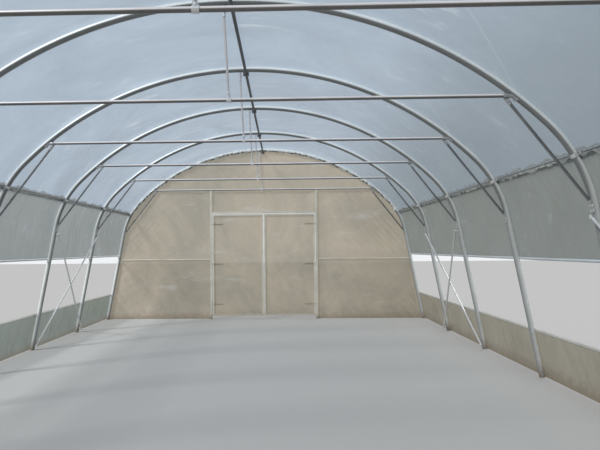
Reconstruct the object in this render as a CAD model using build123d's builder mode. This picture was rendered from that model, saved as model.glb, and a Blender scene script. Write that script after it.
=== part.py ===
"""Polytunnel greenhouse of bent steel hoops under film, with a double door at each end.

Millimetres, +X to the right, +Y along the tunnel from the near end to the far end, +Z up.
The origin is on the ground, at the middle of the whole thing's plan.
"""

from build123d import *

import os
from math import acos, asin, cos, radians, sin, sqrt, tan

os.makedirs("parts", exist_ok=True)

# The tunnel as a whole
bay_count = 6
bay_length = 2000.0
base_width = 6530.0
ridge_height = 3500.0
leg_splay = 10.8
shoulder_radius = 1280.0
arch_half_angle = 44.4

# Tubes
hoop_od = 60.0
tie_od = 32.0
hanger_od = 20.0
brace_od = 25.0
ridge_od = 32.0
roll_od = 34.0
roll_overhang = 50.0
post_width = 40.0
leaf_bar = 30.0

# Drops: tie bar below the ridge, knee clamp, film lock and door head below the tie bar,
# curtain foot below the film lock, and head of the wind brace below the knee clamp
tie_drop = 845.0
knee_drop = 915.0
film_lock_drop = 490.0
door_drop = 495.0
curtain_drop = 865.0
wind_brace_drop = 70.0

# Heights above the ground
skirt_height = 530.0
mid_rail_height = 1220.0
leaf_lift = 65.0
wind_brace_low = 70.0

# Places across the tunnel
hanger_top_offset = -72.0
hanger_low_offset = -30.0
knee_setback = 95.0
post_spacing = 2170.0

# Film, rails and clamps
film_thickness = 3.0
film_overhang = 8.0
rail_height = 30.0
rail_depth = 16.0
groove_width = 12.0
groove_depth = 9.0
skirt_rail_height = 26.0
skirt_rail_depth = 10.0
clamp_wall = 5.0
clamp_length = 70.0
socket_wall = 4.0
tie_socket_reach = 98.0
knee_socket_reach = 80.0
saddle_width = 64.0
saddle_length = 56.0
saddle_wall = 8.0

# Doors and hinges
leaf_side_gap = 8.0
leaf_middle_gap = 12.0
leaf_head_gap = 10.0
pin_diameter = 12.0
pin_height = 34.0
eye_wall = 5.0
eye_height = 24.0
pin_clearance = 0.4
hinge_offset = 14.0
hinge_plate = 3.0
hinge_plate_height = 90.0
hinge_plate_width = 34.0
lug_thickness = 12.0
strap_thickness = 6.0
strap_length = 220.0
hinge_inset = 220.0

# Clearances between fixed pieces, and past the joint on a cut
seat = 0.3
film_gap = 0.5
margin_for_cuts = 500.0

LEFT, RIGHT = -1, 1
NEAR, FAR = -1, 1
SIDES = {"left": LEFT, "right": RIGHT}
ENDS = {"near": NEAR, "far": FAR}

# The hoop's centre line: a leg that leans out, a tight shoulder and a flat arch, each tangent to the next
hoop_r = hoop_od / 2
splay = radians(leg_splay)
arch_angle = radians(arch_half_angle)
apex_z = ridge_height - hoop_r
foot_x = base_width / 2 - hoop_r / cos(splay)
shoulder_share = cos(splay) - sin(arch_angle) - tan(splay) * (cos(arch_angle) - sin(splay))
arch_radius = (foot_x - apex_z * tan(splay) - shoulder_radius * shoulder_share) / (
    sin(arch_angle) + tan(splay) * (cos(arch_angle) - 1)
)
arch_z = apex_z - arch_radius
shoulder_x = (arch_radius - shoulder_radius) * sin(arch_angle)
shoulder_z = arch_z + (arch_radius - shoulder_radius) * cos(arch_angle)
leg_top = Vector(shoulder_x + shoulder_radius * cos(splay), 0, shoulder_z + shoulder_radius * sin(splay))
leg_normal = Vector(cos(splay), 0, sin(splay))

# Heights of the pieces that hang from the ridge down
tie_height = ridge_height - tie_drop
knee_height = tie_height - knee_drop
film_lock_height = tie_height - film_lock_drop
door_height = tie_height - door_drop
curtain_low = film_lock_height - curtain_drop

# Layers outside the hoops, as distances from the centre line
film_in = hoop_r + film_gap
film_out = film_in + film_thickness

# Along the tunnel. The near leaves are folded back flat, so they reach further out than the hinges do
half_length = bay_count * bay_length / 2
end_film_in = hoop_r + film_gap
end_film_out = end_film_in + film_thickness
leaf_out = hoop_r + film_thickness
hinge_depth = end_film_out + hinge_offset
eye_radius = pin_diameter / 2 + pin_clearance + eye_wall
closed_reach = max(hinge_depth + eye_radius, end_film_out + film_overhang, roll_overhang)
open_reach = 2 * hinge_depth - hoop_r + leaf_bar
tunnel_middle = (open_reach - closed_reach) / 2
hoop_stations = [tunnel_middle - half_length + i * bay_length for i in range(bay_count + 1)]


def end_y(end, depth=0.0):
    """Y of a point that lies depth outside the centre of the end hoop."""
    return tunnel_middle + end * (half_length + depth)


def centre_at(height):
    """The hoop's centre line at a height on the right side, and its outward normal there."""
    if height > shoulder_z + shoulder_radius * cos(arch_angle):
        angle = acos((height - arch_z) / arch_radius)
        return Vector(arch_radius * sin(angle), 0, height), Vector(sin(angle), 0, cos(angle))
    if height > leg_top.Z:
        angle = asin((height - shoulder_z) / shoulder_radius)
        x = shoulder_x + shoulder_radius * cos(angle)
        return Vector(x, 0, height), Vector(cos(angle), 0, sin(angle))
    return leg_top + Vector((leg_top.Z - height) * tan(splay), 0, height - leg_top.Z), leg_normal


def along(normal):
    """The hoop's direction where its outward normal is given."""
    return Vector(normal.Z, 0, -normal.X)


def leg_x(height, out=0.0):
    """X of the right leg at a height, on a line that lies out from its centre."""
    return leg_top.X + out / cos(splay) + (leg_top.Z - height) * tan(splay)


def tunnel_section(out, low=0.0):
    """The face under the hoop's line moved outwards, from a height up to the crown."""
    arch, shoulder = arch_radius + out, shoulder_radius + out
    turn = 90 - arch_half_angle - leg_splay
    top = (shoulder_x + shoulder * cos(splay), shoulder_z + shoulder * sin(splay))
    foot = (leg_x(0, out), 0)
    with BuildSketch() as section:
        with BuildLine():
            CenterArc((0, arch_z), arch, 90 - arch_half_angle, 2 * arch_half_angle)
            CenterArc((shoulder_x, shoulder_z), shoulder, leg_splay, turn)
            CenterArc((-shoulder_x, shoulder_z), shoulder, 90 + arch_half_angle, turn)
            Line(top, foot)
            Line((-top[0], top[1]), (-foot[0], 0))
            Line(foot, (-foot[0], 0))
        make_face()
        if low > 0:
            with Locations((0, low / 2)):
                Rectangle(2 * base_width, low, mode=Mode.SUBTRACT)
    return section.sketch


def strip(inner, outer, low, high, reach):
    """A layer of the right side between two heights, run along the whole tunnel."""
    with BuildPart() as piece:
        with BuildSketch(Plane.XZ.offset(-tunnel_middle)):
            add(tunnel_section(outer))
            add(tunnel_section(inner), mode=Mode.SUBTRACT)
            with Locations((base_width / 2, (low + high) / 2)):
                Rectangle(base_width, high - low, mode=Mode.INTERSECT)
        extrude(amount=half_length + reach, both=True)
    return piece.part


def rod(start, end, diameter):
    """A round bar between two points."""
    with BuildPart() as piece:
        with BuildSketch(Plane(origin=start, z_dir=end - start)):
            Circle(diameter / 2)
        extrude(amount=(end - start).length)
    return piece.part


def cutter(centre, direction, diameter):
    """A long round bar through a point, to cut a tube's end to the bar that it meets."""
    reach = direction.normalized() * margin_for_cuts
    return rod(centre - reach, centre + reach, diameter)


def block(x, y, z):
    """A box from its three pairs of limits, given in either order."""
    with BuildPart() as piece:
        with Locations(((x[0] + x[1]) / 2, (y[0] + y[1]) / 2, (z[0] + z[1]) / 2)):
            Box(abs(x[1] - x[0]), abs(y[1] - y[0]), abs(z[1] - z[0]))
    return piece.part


def at_hoops(piece):
    """Copies of a piece at every hoop."""
    with BuildPart() as row:
        with Locations(*[(0, y, 0) for y in hoop_stations]):
            add(piece)
    return row.part


def both_sides(piece):
    """A piece of the right side with its mirror image."""
    with BuildPart() as pair:
        add(piece)
        mirror(about=Plane.YZ)
    return pair.part


def save(piece, name):
    """Labels a finished piece and writes its file."""
    piece.label = name
    export_step(piece, f"parts/{name}.step")


def bent_tube(radius):
    """A round bar of a given radius along the hoop's centre line, from below the ground on each side."""
    foot = leg_top + (leg_top.Z + hoop_od) * Vector(tan(splay), 0, -1)
    turn = 90 - arch_half_angle - leg_splay
    with BuildPart() as tube:
        with BuildLine(Plane.XZ) as centre_line:
            Line((foot.X, foot.Z), (leg_top.X, leg_top.Z))
            CenterArc((shoulder_x, shoulder_z), shoulder_radius, leg_splay, turn)
            CenterArc((0, arch_z), arch_radius, 90 - arch_half_angle, 2 * arch_half_angle)
            CenterArc((-shoulder_x, shoulder_z), shoulder_radius, 90 + arch_half_angle, turn)
            Line((-leg_top.X, leg_top.Z), (-foot.X, foot.Z))
        with BuildSketch(Plane(origin=foot, z_dir=leg_top - foot)):
            Circle(radius)
        sweep(path=centre_line.wire())
    return tube.part


# Hoop: one bent tube, cut level at the ground
hoop_room = bent_tube(hoop_r + seat)
with BuildPart() as hoop:
    add(bent_tube(hoop_r))
    split(bisect_by=Plane.XY, keep=Keep.TOP)

for number, y in enumerate(hoop_stations, start=1):
    save(hoop.part.moved(Location((0, y, 0))), f"hoop_{number}")


def hoop_clamp(centre, normal, toward, reach, bar_od):
    """A saddle on the inside of the hoop, with a socket for the end of a bar that comes in from toward."""
    hoop_line = along(normal)
    half = hoop_line * (clamp_length / 2)
    saddle_od = hoop_od + 2 * (seat + clamp_wall)
    with BuildPart() as clamp:
        add(rod(centre - half, centre + half, saddle_od))
        # The saddle stays within the hoop's own width, clear of the film
        inward = sqrt((saddle_od / 2) ** 2 - (hoop_r - seat) ** 2)
        flat = Plane(origin=centre - normal * inward, x_dir=hoop_line, z_dir=normal)
        split(bisect_by=flat, keep=Keep.BOTTOM)
        add(rod(centre, centre + toward.normalized() * reach, bar_od + 2 * (seat + socket_wall)))
        add(hoop_room, mode=Mode.SUBTRACT)
        add(cutter(centre, toward, bar_od + 2 * seat), mode=Mode.SUBTRACT)
    return max(clamp.part.solids(), key=lambda solid: solid.volume)


# Tie bar across each hoop, its ends cut to the hoop and held in clamps
tie_end, tie_normal = centre_at(tie_height)
with BuildPart() as tie_bar:
    add(rod(Vector(0, 0, tie_height), tie_end, tie_od))
    add(hoop_room, mode=Mode.SUBTRACT)
    mirror(about=Plane.YZ)
save(at_hoops(tie_bar.part), "tie_bars")

tie_socket_od = tie_od + 2 * (seat + socket_wall)
tie_clamp = hoop_clamp(tie_end, tie_normal, Vector(-1, 0, 0), tie_socket_reach, tie_od)
save(at_hoops(both_sides(tie_clamp)), "tie_clamps")


# Hanger from beside the ridge down to the tie bar
hanger_top = Vector(hanger_top_offset, 0, sqrt(arch_radius**2 - hanger_top_offset**2) + arch_z)
hanger_low = Vector(hanger_low_offset, 0, tie_height)
with BuildPart() as hanger:
    add(rod(hanger_low, hanger_top, hanger_od))
    add(hoop_room, mode=Mode.SUBTRACT)
    add(cutter(hanger_low, Vector(1, 0, 0), tie_od + 2 * seat), mode=Mode.SUBTRACT)
save(at_hoops(hanger.part), "tie_bar_hangers")


# Knee brace from under the tie bar's clamp down to a clamp on the leg
knee_top = tie_end - Vector(knee_setback, 0, 0)
knee_low, knee_normal = centre_at(knee_height)
with BuildPart() as knee_brace:
    add(rod(knee_top, knee_low, brace_od))
    add(cutter(knee_top, Vector(1, 0, 0), tie_socket_od + 2 * seat), mode=Mode.SUBTRACT)
    add(hoop_room, mode=Mode.SUBTRACT)
save(at_hoops(both_sides(knee_brace.part)), "knee_braces")

knee_clamp = hoop_clamp(knee_low, knee_normal, knee_top - knee_low, knee_socket_reach, brace_od)
save(at_hoops(both_sides(knee_clamp)), "knee_clamps")


# Ridge tube under the crown of the hoops, held to each by a saddle that it passes through
ridge_z = apex_z - hoop_r - ridge_od / 2 - seat
ridge_reach = half_length + hoop_r
ridge_tube = rod(
    Vector(0, tunnel_middle - ridge_reach, ridge_z),
    Vector(0, tunnel_middle + ridge_reach, ridge_z),
    ridge_od,
)
save(ridge_tube, "ridge_tube")

with BuildPart() as ridge_saddle:
    half_width, half_depth = saddle_width / 2, saddle_length / 2
    saddle_low = ridge_z - ridge_od / 2 - saddle_wall
    add(block((-half_width, half_width), (-half_depth, half_depth), (saddle_low, apex_z)))
    add(hoop_room, mode=Mode.SUBTRACT)
    add(cutter(Vector(0, 0, ridge_z), Vector(0, 1, 0), ridge_od + 2 * seat), mode=Mode.SUBTRACT)
    top = apex_z - hoop_r + ridge_od / 4
    add(block((-half_width, half_width), (-half_depth, half_depth), (top, apex_z)), mode=Mode.SUBTRACT)
save(at_hoops(ridge_saddle.part), "ridge_saddles")


# Film-lock rail along each side, with a groove in its outer face for the wire that holds the film
rail_low = film_lock_height - rail_height / 2
rail_high = film_lock_height + rail_height / 2
rail_reach = end_film_out
with BuildPart() as film_lock_rail:
    add(strip(film_in, film_in + rail_depth, rail_low, rail_high, rail_reach))
    groove_low = film_lock_height - groove_width / 2
    groove_high = film_lock_height + groove_width / 2
    groove_in = film_in + rail_depth - groove_depth
    add(
        strip(groove_in, film_in + 2 * rail_depth, groove_low, groove_high, rail_reach + hoop_od),
        mode=Mode.SUBTRACT,
    )
save(both_sides(film_lock_rail.part), "film_lock_rails")


# Roof film over the hoops, from rail to rail
with BuildPart() as roof_film:
    with BuildSketch(Plane.XZ.offset(-tunnel_middle)):
        add(tunnel_section(film_out, rail_high))
        add(tunnel_section(film_in), mode=Mode.SUBTRACT)
    extrude(amount=half_length + end_film_out + film_overhang, both=True)
save(roof_film.part, "roof_film")


# Side curtain that hangs from the rail outside the legs, with a roll tube along its foot
roll_out = film_in + roll_od / 2
roll_centre = Vector(leg_x(curtain_low, roll_out), 0, curtain_low)
curtain_foot = curtain_low + roll_od / 2
curtain_reach = end_film_out
for side, sign in SIDES.items():
    curtain = strip(film_in, film_out, curtain_foot, rail_low, curtain_reach)
    save(curtain if sign == RIGHT else curtain.mirror(Plane.YZ), f"side_curtain_{side}")

roll_end = Vector(0, half_length + roll_overhang, 0)
roll_middle = roll_centre + Vector(0, tunnel_middle, 0)
roll_tube = rod(roll_middle - roll_end, roll_middle + roll_end, roll_od)
save(both_sides(roll_tube), "roll_tubes")


# Skirt film at the ground, under a rail along its top
skirt_top = skirt_height - skirt_rail_height
for side, sign in SIDES.items():
    skirt = strip(film_in, film_out, 0, skirt_top, curtain_reach)
    save(skirt if sign == RIGHT else skirt.mirror(Plane.YZ), f"skirt_film_{side}")
skirt_rail = strip(film_in, film_in + skirt_rail_depth, skirt_top, skirt_height, curtain_reach)
save(both_sides(skirt_rail), "skirt_rails")


# Crossed wind braces inside the legs, in the second bay from each end. One of each pair stands off on stubs
brace_high = knee_height - wind_brace_drop
brace_levels = {False: hoop_r + brace_od / 2 + seat, True: hoop_r + 1.5 * brace_od + 2 * seat}


def leg_inside(height, inward, y):
    """A point inside the right leg, measured square to it."""
    return Vector(leg_x(height) - inward * cos(splay), y, height - inward * sin(splay))


def wind_brace(foot_y, head_y, stands_off):
    """A brace from the foot of one leg to the top of the next."""
    inward = brace_levels[stands_off]
    foot_end = leg_inside(wind_brace_low, inward, foot_y)
    head_end = leg_inside(brace_high, inward, head_y)
    tail = (head_end - foot_end).normalized() * brace_od
    with BuildPart() as brace:
        add(rod(foot_end - tail, head_end + tail, brace_od))
        if stands_off:
            for height, y in ((wind_brace_low, foot_y), (brace_high, head_y)):
                start = leg_inside(height, hoop_r + seat, y)
                add(rod(start, leg_inside(height, inward, y), brace_od))
    return brace.part


with BuildPart() as wind_braces:
    for bay in sorted({min(1, bay_count - 1), max(bay_count - 2, 0)}):
        first, second = hoop_stations[bay], hoop_stations[bay + 1]
        add(wind_brace(first, second, False))
        add(wind_brace(second, first, True))
    mirror(about=Plane.YZ)
save(wind_braces.part, "wind_braces")


# Ends: posts up to the tie bar, a header, mid rails out to the legs, and film over them outside
opening_half = (post_spacing - post_width) / 2
post_out = opening_half + post_width
post_top = tie_height - tie_od / 2 - seat
header_top = door_height + post_width
post_in = hoop_r - post_width
film_edge = hoop_r - film_gap
mid_rail_depth = post_in + post_width / 2
mid_rail_end = centre_at(mid_rail_height)[0]

for name, end in ENDS.items():
    post_y = (end_y(end, post_in), end_y(end, hoop_r))

    with BuildPart() as door_posts:
        add(block((opening_half, post_out), post_y, (0, post_top)))
        mirror(about=Plane.YZ)
    save(door_posts.part, f"{name}_door_posts")

    header = block((-opening_half, opening_half), post_y, (door_height, header_top))
    save(header, f"{name}_door_header")

    rail_y = Vector(0, end_y(end, mid_rail_depth), 0)
    with BuildPart() as mid_rails:
        start = Vector(post_out, 0, mid_rail_height)
        add(rod(start + rail_y, mid_rail_end + rail_y, brace_od))
        add(hoop_room.moved(Location((0, end_y(end), 0))), mode=Mode.SUBTRACT)
        mirror(about=Plane.YZ)
    save(mid_rails.part, f"{name}_mid_rails")

    # The end film is a panel each side of the doorway and one over it
    panels = {
        "left": ((-base_width, -opening_half), (0, header_top)),
        "right": ((opening_half, base_width), (0, header_top)),
        "top": ((-base_width, base_width), (header_top, 2 * ridge_height)),
    }
    for place, (x, z) in panels.items():
        with BuildPart() as end_film:
            with BuildSketch(Plane.XZ.offset(-end_y(end, (end_film_in + end_film_out) / 2))):
                add(tunnel_section(film_edge))
                with Locations(((x[0] + x[1]) / 2, (z[0] + z[1]) / 2)):
                    Rectangle(x[1] - x[0], z[1] - z[0], mode=Mode.INTERSECT)
            extrude(amount=film_thickness / 2, both=True)
        save(end_film.part, f"{name}_end_film_{place}")


# Hinges: a pin on a lug and plate on each post, and an eye on a strap on each leaf
hinge_x = opening_half - leaf_side_gap / 2
leaf_low, leaf_high = leaf_lift, door_height - leaf_head_gap
hinge_heights = [
    leaf_low + hinge_inset,
    (leaf_low + leaf_high) / 2,
    leaf_high - hinge_inset,
]


def hinge_pin(side, end, height):
    """The fixed half of a hinge, with the pin's foot at a height."""
    axis = Vector(side * hinge_x, end_y(end, hinge_depth), 0)
    plate_in = opening_half + seat
    plate_x = (side * plate_in, side * (plate_in + hinge_plate_width))
    plate_y = (end_y(end, end_film_out), end_y(end, end_film_out + hinge_plate))
    lug_z = (height - lug_thickness, height)
    with BuildPart() as pin:
        add(block(plate_x, plate_y, (height - hinge_plate_height, height)))
        add(block((axis.X, plate_x[1]), (plate_y[0], axis.Y), lug_z))
        add(rod(axis + Vector(0, 0, lug_z[0]), axis + Vector(0, 0, height), 2 * eye_radius))
        add(rod(axis + Vector(0, 0, height), axis + Vector(0, 0, height + pin_height), pin_diameter))
    return pin.part


def leaf_point(side, end, swing, across, depth):
    """X and Y of a point of a leaf, from its distances across and inwards from the hinge pin.

    swing is -1 on a closed leaf and 1 on one that is folded right back."""
    return side * (hinge_x + swing * across), end_y(end, hinge_depth + swing * depth)


def leaf_block(side, end, swing, across, depth, z):
    """A box on a leaf, from its limits across the leaf and inwards from the hinge pin."""
    x, y = zip(*(leaf_point(side, end, swing, a, d) for a, d in zip(across, depth)))
    return block(x, y, z)


def hinge_strap(side, end, swing, height):
    """The moving half of a hinge: an eye over the pin, on a strap that lies on the leaf's film."""
    low, high = height + seat, height + seat + eye_height
    x, y = leaf_point(side, end, swing, 0, 0)
    foot, head = Vector(x, y, low), Vector(x, y, high)
    with BuildPart() as strap:
        add(leaf_block(side, end, swing, (0, strap_length), strap_depth, (low, high)))
        add(rod(foot, head, 2 * eye_radius))
        add(rod(foot, head, pin_diameter + 2 * pin_clearance), mode=Mode.SUBTRACT)
    return strap.part


leaf_near_edge = leaf_side_gap / 2
leaf_far_edge = hinge_x - leaf_middle_gap / 2
frame_depth = (hinge_depth - hoop_r, hinge_depth - hoop_r + leaf_bar)
cover_depth = (hinge_depth - leaf_out, hinge_depth - hoop_r)
strap_depth = (hinge_depth - leaf_out - strap_thickness, hinge_depth - leaf_out)

for name, end in ENDS.items():
    swing = 1 if end == NEAR else -1

    with BuildPart() as hinge_pins:
        for sign in SIDES.values():
            for height in hinge_heights:
                add(hinge_pin(sign, end, height))
    save(hinge_pins.part, f"{name}_hinge_pins")

    for side, sign in SIDES.items():
        where = (sign, end, swing)
        across = (leaf_near_edge, leaf_far_edge)
        with BuildPart() as leaf_frame:
            add(leaf_block(*where, across, frame_depth, (leaf_low, leaf_high)))
            window = (leaf_near_edge + leaf_bar, leaf_far_edge - leaf_bar)
            inside = (leaf_low + leaf_bar, leaf_high - leaf_bar)
            add(leaf_block(*where, window, frame_depth, inside), mode=Mode.SUBTRACT)
            for height in hinge_heights:
                add(hinge_strap(*where, height))
        save(leaf_frame.part, f"{name}_{side}_leaf_frame")

        cover = leaf_block(*where, across, cover_depth, (leaf_low, leaf_high))
        save(cover, f"{name}_{side}_leaf_film")
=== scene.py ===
"""A polytunnel greenhouse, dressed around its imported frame.

Metres, +X to the right, +Y along the tunnel towards the far end, +Z up.
"""

import bmesh
import bpy
import numpy as np
from mathutils import Matrix, Vector


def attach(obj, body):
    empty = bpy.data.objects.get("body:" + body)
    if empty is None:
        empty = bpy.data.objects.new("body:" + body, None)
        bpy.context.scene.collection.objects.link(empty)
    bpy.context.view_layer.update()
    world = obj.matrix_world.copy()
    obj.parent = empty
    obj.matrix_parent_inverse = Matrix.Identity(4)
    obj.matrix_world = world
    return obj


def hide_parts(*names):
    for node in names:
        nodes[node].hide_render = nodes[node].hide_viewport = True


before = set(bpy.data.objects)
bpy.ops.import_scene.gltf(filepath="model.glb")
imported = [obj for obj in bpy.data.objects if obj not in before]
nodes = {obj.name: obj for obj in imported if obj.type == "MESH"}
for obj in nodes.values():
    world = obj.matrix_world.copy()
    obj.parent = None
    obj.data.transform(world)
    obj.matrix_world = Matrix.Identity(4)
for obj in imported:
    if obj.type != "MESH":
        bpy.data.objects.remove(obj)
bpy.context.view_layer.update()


# Camera, floor and light. The camera stands just outside the open near doorway at chest height and looks
# down the tunnel, a little left. The floor is a plain pale plane. A pale sky, a soft sun high on the left
# behind the camera and a weak one above the far end are the light.
camera_place = (0.4057, -7.1936, 1.4362)
turn_left, tilt_up, lean = 0.0331, 0.0367, 0.0082
lens_pixels, picture_width, sight_column = 641.9, 600, 262

camera = bpy.data.objects.new("camera", bpy.data.cameras.new("camera"))
camera.data.sensor_width = 36.0
camera.data.lens = camera.data.sensor_width * lens_pixels / picture_width
camera.data.shift_x = 0.5 - sight_column / picture_width
camera.data.clip_start = 0.05
camera.data.clip_end = 200
camera.matrix_world = (
    Matrix.Translation(camera_place)
    @ Matrix.Rotation(turn_left, 4, "Z")
    @ Matrix.Rotation(np.pi / 2 + tilt_up, 4, "X")
    @ Matrix.Rotation(-lean, 4, "Z")
)
bpy.context.scene.collection.objects.link(camera)
bpy.context.scene.camera = camera
bpy.context.scene.view_settings.view_transform = "Standard"


def node_maker(tree):
    """A function that adds a node to the tree with its settings and inputs. An input is a plain value, or
    the output of another node."""

    def node(kind, inputs=(), **settings):
        made = tree.nodes.new("ShaderNode" + kind)
        for key, value in settings.items():
            setattr(made, key, value)
        for key, value in dict(inputs).items():
            if isinstance(value, bpy.types.NodeSocket):
                tree.links.new(value, made.inputs[key])
            else:
                made.inputs[key].default_value = value
        return made

    return node


def new_material(name):
    """An empty node material, its node maker, and a function that links a shader to its surface."""
    material = bpy.data.materials.new(name)
    material.use_nodes = True
    material.node_tree.nodes.clear()
    node = node_maker(material.node_tree)
    output = node("OutputMaterial")

    def surface(shader):
        material.node_tree.links.new(shader.outputs[0], output.inputs["Surface"])
        return material

    return node, surface


floor_half, floor_drop = 60.0, 0.002
floor_mesh = bpy.data.meshes.new("floor")
corners = np.array([(-1, -1, 0), (1, -1, 0), (1, 1, 0), (-1, 1, 0)]) * floor_half - (0, 0, floor_drop)
floor_mesh.from_pydata(corners, [], [(0, 1, 2, 3)])
floor = bpy.data.objects.new("floor", floor_mesh)
bpy.context.scene.collection.objects.link(floor)
node, surface = new_material("floor")
floor_mesh.materials.append(surface(node("BsdfDiffuse", {"Color": (0.46, 0.46, 0.45, 1)})))

sky_light, sky_seen = 0.36, 0.94
world = bpy.data.worlds.new("sky")
world.use_nodes = True
world.node_tree.nodes.clear()
node = node_maker(world.node_tree)
rays = node("LightPath")
seen = node("Math", {0: rays.outputs["Is Camera Ray"], 1: rays.outputs["Is Glossy Ray"]}, operation="MAXIMUM")
seen = node("Math", {0: seen.outputs[0], 1: rays.outputs["Is Transmission Ray"]}, operation="MAXIMUM")
light = node("Background", {"Color": (0.93, 0.96, 1.0, 1), "Strength": sky_light})
backdrop = node("Background", {"Color": (0.93, 0.95, 0.97, 1), "Strength": sky_seen})
both = node("MixShader", {0: seen.outputs[0], 1: light.outputs[0], 2: backdrop.outputs[0]})
world.node_tree.links.new(both.outputs[0], node("OutputWorld").inputs["Surface"])
bpy.context.scene.world = world

for name, strength, angle, towards in (
    ("sun", 2.9, 0.20, (-0.55, -0.58, 0.72)),
    ("fill", 1.1, 0.90, (0.42, 0.60, 0.68)),
):
    lamp = bpy.data.objects.new(name, bpy.data.lights.new(name, "SUN"))
    lamp.data.energy, lamp.data.angle = strength, angle
    lamp.matrix_world = Vector(towards).to_track_quat("Z", "Y").to_matrix().to_4x4()
    bpy.context.scene.collection.objects.link(lamp)


# Hoops, tie bars, braces and ridge: hot-dip galvanised steel tube, bent, and joined by bolted clamps. The
# ridge tube has weathered darker. Zinc crystals show in the grey, and the feet are stained with dirt. The
# undersides of the hoops and tie bars are darkened as painted shade, and the knee braces are painted dark
# as shade.
bay_length, bay_count, tunnel_middle = 2.0, 6, 0.01805
tunnel_length = bay_length * bay_count
first_hoop, last_hoop = tunnel_middle - tunnel_length / 2, tunnel_middle + tunnel_length / 2
hoop_places = first_hoop + bay_length * np.arange(bay_count + 1)
hoop_radius = 0.030
arch_radius, arch_z, arch_angle = 3.62597, -0.15597, np.radians(44.4)
shoulder_radius, shoulder_x, shoulder_z = 1.28, 1.64139, 1.52016
splay = np.radians(10.8)
arch_end = arch_radius * arch_angle
shoulder_end = arch_end + shoulder_radius * (np.pi / 2 - arch_angle - splay)
foot_end = shoulder_end + (shoulder_z + shoulder_radius * np.sin(splay)) / np.cos(splay)


def hoop_line(s, out=0.0):
    """X and Z of the hoop's line moved outwards, and of its outward normal. s is the length from the crown,
    positive to the right: first the arch, then the shoulder, each a circle, then the straight leg."""
    side, s = np.sign(s), np.abs(s)
    on_arch = s < arch_end
    angle = np.where(on_arch, s / arch_radius, arch_angle + (s - arch_end) / shoulder_radius)
    angle = np.minimum(angle, np.pi / 2 - splay)
    radius = np.where(on_arch, arch_radius, shoulder_radius)
    down = np.maximum(s - shoulder_end, 0)
    x = np.where(on_arch, 0, shoulder_x) + radius * np.sin(angle) + down * np.sin(splay)
    z = np.where(on_arch, arch_z, shoulder_z) + radius * np.cos(angle) - down * np.cos(splay)
    nx, nz = np.sin(angle), np.cos(angle)
    return side * (x + out * nx), z + out * nz, side * nx, nz


def hoop_point(s, out=0.0):
    """The same for one point, as plain numbers."""
    return tuple(float(v) for v in hoop_line(s, out))


def length_at(height):
    """Length along the hoop's line from the crown down to a height, read from a table with 1 mm steps."""
    table = np.arange(0, foot_end + 0.01, 0.001)
    return np.interp(-np.asarray(height, float), -hoop_line(table)[1], table)


def zinc(name, pale, dark, crystal=0.011, crystal_share=0.22, rough=0.40, metal=0.9, dirt=0.0, below=1.0):
    """A zinc finish: cell noise for the crystals, broad noise for the weathering, fine noise for roughness
    and bump. A colour of dirt fades out at the height dirt. Faces that look down have their colour times
    below, a painted shade on the undersides."""
    node, surface = new_material(name)
    place = node("TexCoord").outputs["Object"]
    cells = node("TexVoronoi", {"Vector": place, "Scale": 1 / crystal})
    grain = node("SeparateColor", {"Color": cells.outputs["Color"]}).outputs["Red"]
    broad = node("TexNoise", {"Vector": place, "Scale": 3.5, "Detail": 5.0, "Roughness": 0.6}).outputs["Fac"]
    fine = node("TexNoise", {"Vector": place, "Scale": 70.0, "Detail": 3.0}).outputs["Fac"]
    weather = {"Value": broad, "From Min": 0.3, "From Max": 0.7, "To Max": 1 - crystal_share}
    weather = node("MapRange", weather).outputs[0]
    shade = node("Math", {0: grain, 1: crystal_share, 2: weather}, operation="MULTIPLY_ADD")
    tint = node("Mix", {"Factor": shade.outputs[0], "A": (*dark, 1), "B": (*pale, 1)}, data_type="RGBA")
    tint = tint.outputs["Result"]
    if below < 1:
        # Painted shade: faces that look down are darkened towards below times their colour.
        facing = node("SeparateXYZ", {"Vector": node("NewGeometry").outputs["Normal"]}).outputs["Z"]
        underside_shade_mask = node("MapRange", {"Value": facing, "From Min": 0.12, "From Max": -0.22}).outputs[0]
        underside_shade_colour = {"Factor": underside_shade_mask, "A": (1, 1, 1, 1), "B": (below, below, below, 1)}
        underside_shade_colour = node("Mix", underside_shade_colour, data_type="RGBA").outputs["Result"]
        tint = node("Mix", {"Factor": 1.0, "A": tint, "B": underside_shade_colour}, data_type="RGBA", blend_type="MULTIPLY")
        tint = tint.outputs["Result"]
    if dirt:
        height = node("SeparateXYZ", {"Vector": place}).outputs["Z"]
        ragged = node("Math", {0: broad, 1: dirt}, operation="MULTIPLY")
        mark = {"Value": height, "From Min": ragged.outputs[0], "From Max": 0.0, "To Max": 0.8}
        mark = node("MapRange", mark)
        dirty = {"Factor": mark.outputs[0], "A": tint, "B": (0.17, 0.12, 0.08, 1)}
        tint = node("Mix", dirty, data_type="RGBA").outputs["Result"]
    roughness = node("MapRange", {"Value": fine, "To Min": rough - 0.08, "To Max": rough + 0.12})
    bump = node("Bump", {"Height": fine, "Strength": 0.06, "Distance": 0.001})
    finish = {"Base Color": tint, "Metallic": metal}
    finish |= {"Roughness": roughness.outputs[0], "Normal": bump.outputs[0]}
    return surface(node("BsdfPrincipled", finish))


def wear(material, *names):
    """Gives CAD nodes a finish in place of the one that they came with."""
    for name in names:
        nodes[name].data.materials.clear()
        nodes[name].data.materials.append(material)


# Painted shade: below darkens the faces of the hoops and tie bars that look down.
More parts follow.
